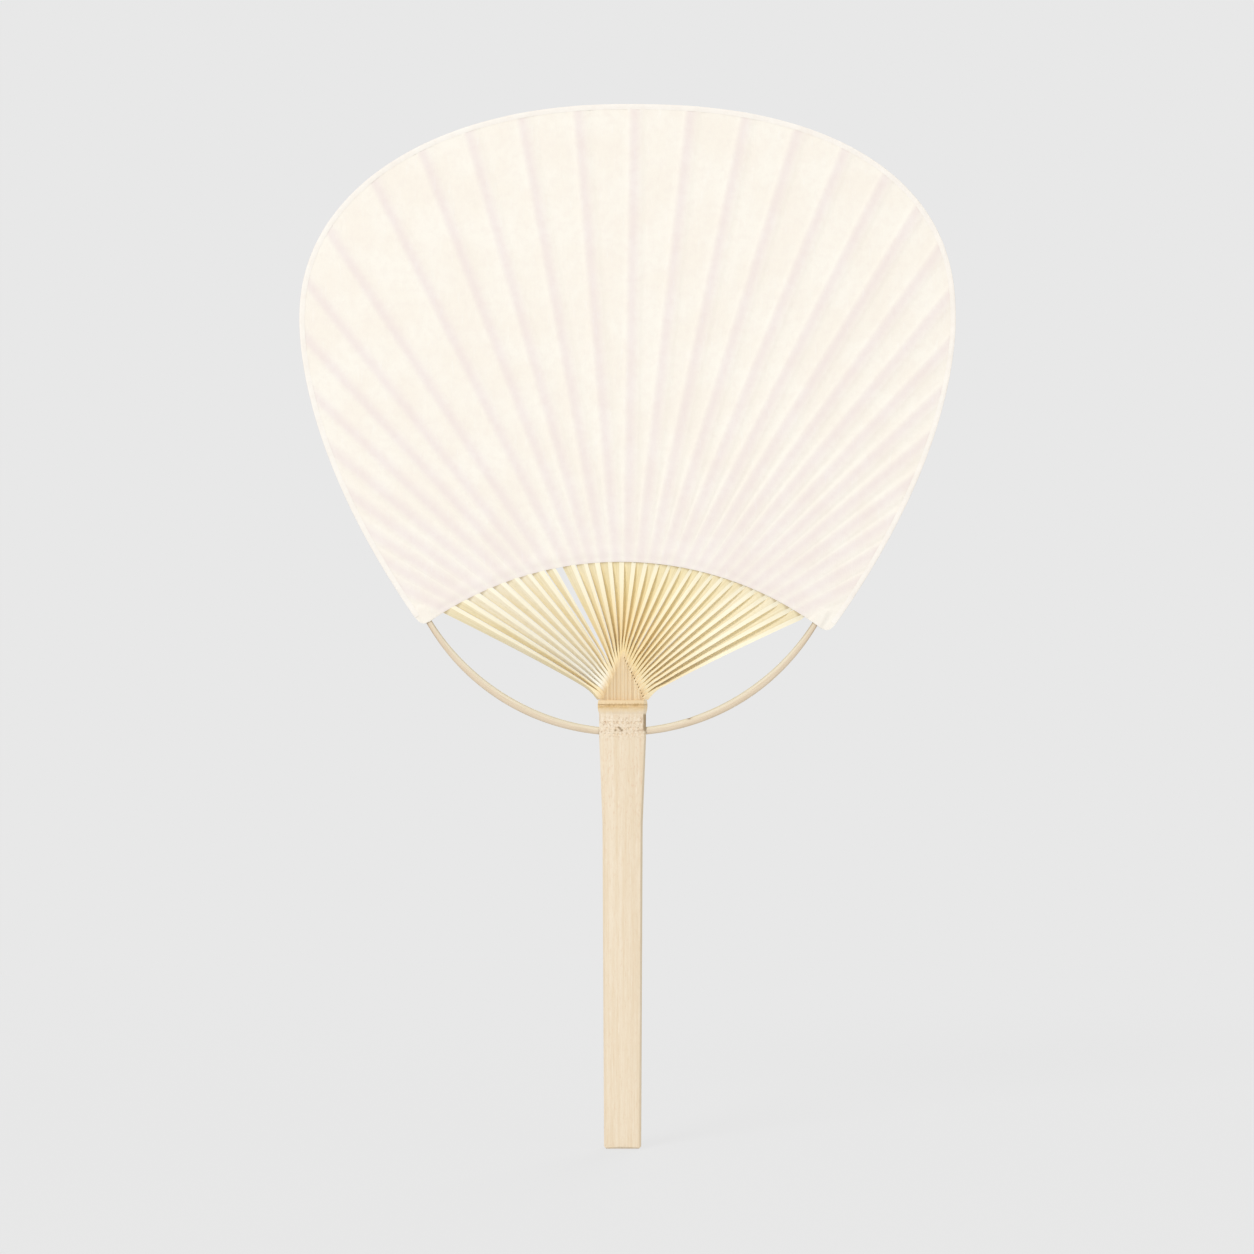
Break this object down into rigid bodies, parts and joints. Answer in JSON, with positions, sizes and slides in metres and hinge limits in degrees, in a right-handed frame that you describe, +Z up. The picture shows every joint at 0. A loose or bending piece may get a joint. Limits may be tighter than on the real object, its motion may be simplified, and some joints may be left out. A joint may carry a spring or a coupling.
{
  "type": "round hand fan",
  "caption": "Round rigid paper fan on a flat bamboo slat, with split bamboo ribs between two sheets of paper, a bamboo bow and a twined thread.",
  "frame": {"origin": "middle of the grip, on the handle's axis, 60 mm above the butt", "axes": "+Z up along the handle to the top of the leaf, -Y out of the front face, +X to the right of a viewer who looks at the front"},
  "size_m": [0.239, 0.0059, 0.38],
  "materials": {
    "bamboo_handle": "satin",
    "bamboo_bow": "satin",
    "bamboo_ribs": "satin",
    "paper": "matte",
    "edge_paper": "matte",
    "thread": "matte"
  },
  "bodies": {
    "root": {"handle": "bamboo_handle", "bow": "bamboo_bow", "tie_left": "thread", "tie_right": "thread", "thread_front": "thread", "thread_back": "thread", "paper_front": "paper", "paper_back": "paper", "rim_tape": "edge_paper", "rib_01": "bamboo_ribs", "rib_02": "bamboo_ribs", "rib_03": "bamboo_ribs", "rib_04": "bamboo_ribs", "rib_05": "bamboo_ribs", "rib_06": "bamboo_ribs", "rib_07": "bamboo_ribs", "rib_08": "bamboo_ribs", "rib_09": "bamboo_ribs", "rib_10": "bamboo_ribs", "rib_11": "bamboo_ribs", "rib_12": "bamboo_ribs", "rib_13": "bamboo_ribs", "rib_14": "bamboo_ribs", "rib_15": "bamboo_ribs", "rib_16": "bamboo_ribs", "rib_17": "bamboo_ribs", "rib_18": "bamboo_ribs", "rib_19": "bamboo_ribs", "rib_20": "bamboo_ribs", "rib_21": "bamboo_ribs", "rib_22": "bamboo_ribs", "rib_23": "bamboo_ribs", "rib_24": "bamboo_ribs", "rib_25": "bamboo_ribs", "rib_26": "bamboo_ribs", "rib_27": "bamboo_ribs", "rib_28": "bamboo_ribs", "rib_29": "bamboo_ribs", "rib_30": "bamboo_ribs"}
  },
  "joints": []
}
